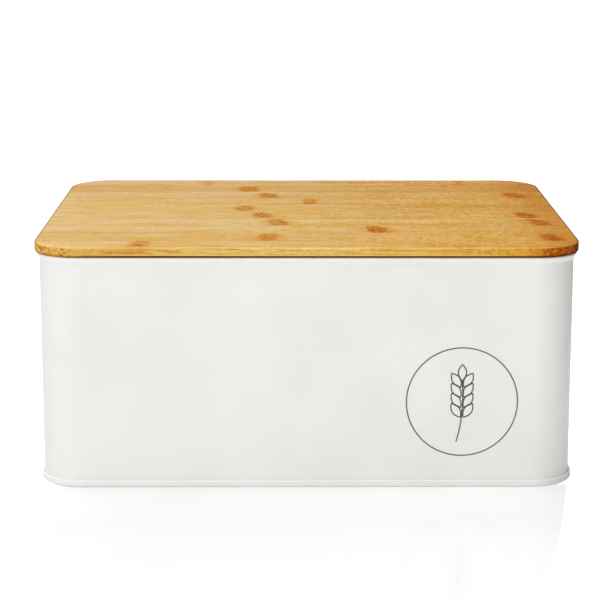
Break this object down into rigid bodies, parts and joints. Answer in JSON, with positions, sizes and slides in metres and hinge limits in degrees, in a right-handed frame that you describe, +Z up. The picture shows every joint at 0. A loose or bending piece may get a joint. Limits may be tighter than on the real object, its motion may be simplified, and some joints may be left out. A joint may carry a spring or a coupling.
{
  "type": "bread box",
  "caption": "Rounded sheet-steel bread box with a hemmed rim, a double-seamed base, air holes at the back and a rebated lift-off bamboo lid glued up from strips.",
  "frame": {"origin": "middle of the base, on the surface that the box stands on", "axes": "+X to the right along the length of the box, +Y to the back, +Z up; the plain front faces -Y"},
  "size_m": [0.305, 0.235, 0.1374],
  "materials": {
    "coat": "satin white powder coat with a very fine even texture",
    "bamboo_face": "oiled flat-pressed bamboo, long grain with brown nodal bands, satin",
    "bamboo_core": "oiled flat-pressed bamboo, long grain, satin"
  },
  "bodies": {
    "box": {"side_wall": "coat", "base_pan": "coat"},
    "lid": {"lid_face_strip_01": "bamboo_face", "lid_face_strip_02": "bamboo_face", "lid_face_strip_03": "bamboo_face", "lid_face_strip_04": "bamboo_face", "lid_face_strip_05": "bamboo_face", "lid_face_strip_06": "bamboo_face", "lid_face_strip_07": "bamboo_face", "lid_face_strip_08": "bamboo_face", "lid_face_strip_09": "bamboo_face", "lid_face_strip_10": "bamboo_face", "lid_plug_strip_01": "bamboo_core", "lid_plug_strip_02": "bamboo_core", "lid_plug_strip_03": "bamboo_core", "lid_plug_strip_04": "bamboo_core", "lid_plug_strip_05": "bamboo_core", "lid_plug_strip_06": "bamboo_core", "lid_plug_strip_07": "bamboo_core", "lid_plug_strip_08": "bamboo_core", "lid_plug_strip_09": "bamboo_core"}
  },
  "joints": [
    {"name": "lid_lift", "type": "slide", "parent": "box", "child": "lid", "axis": [0, 0, 1], "range_m": [0, 0.15]}
  ]
}
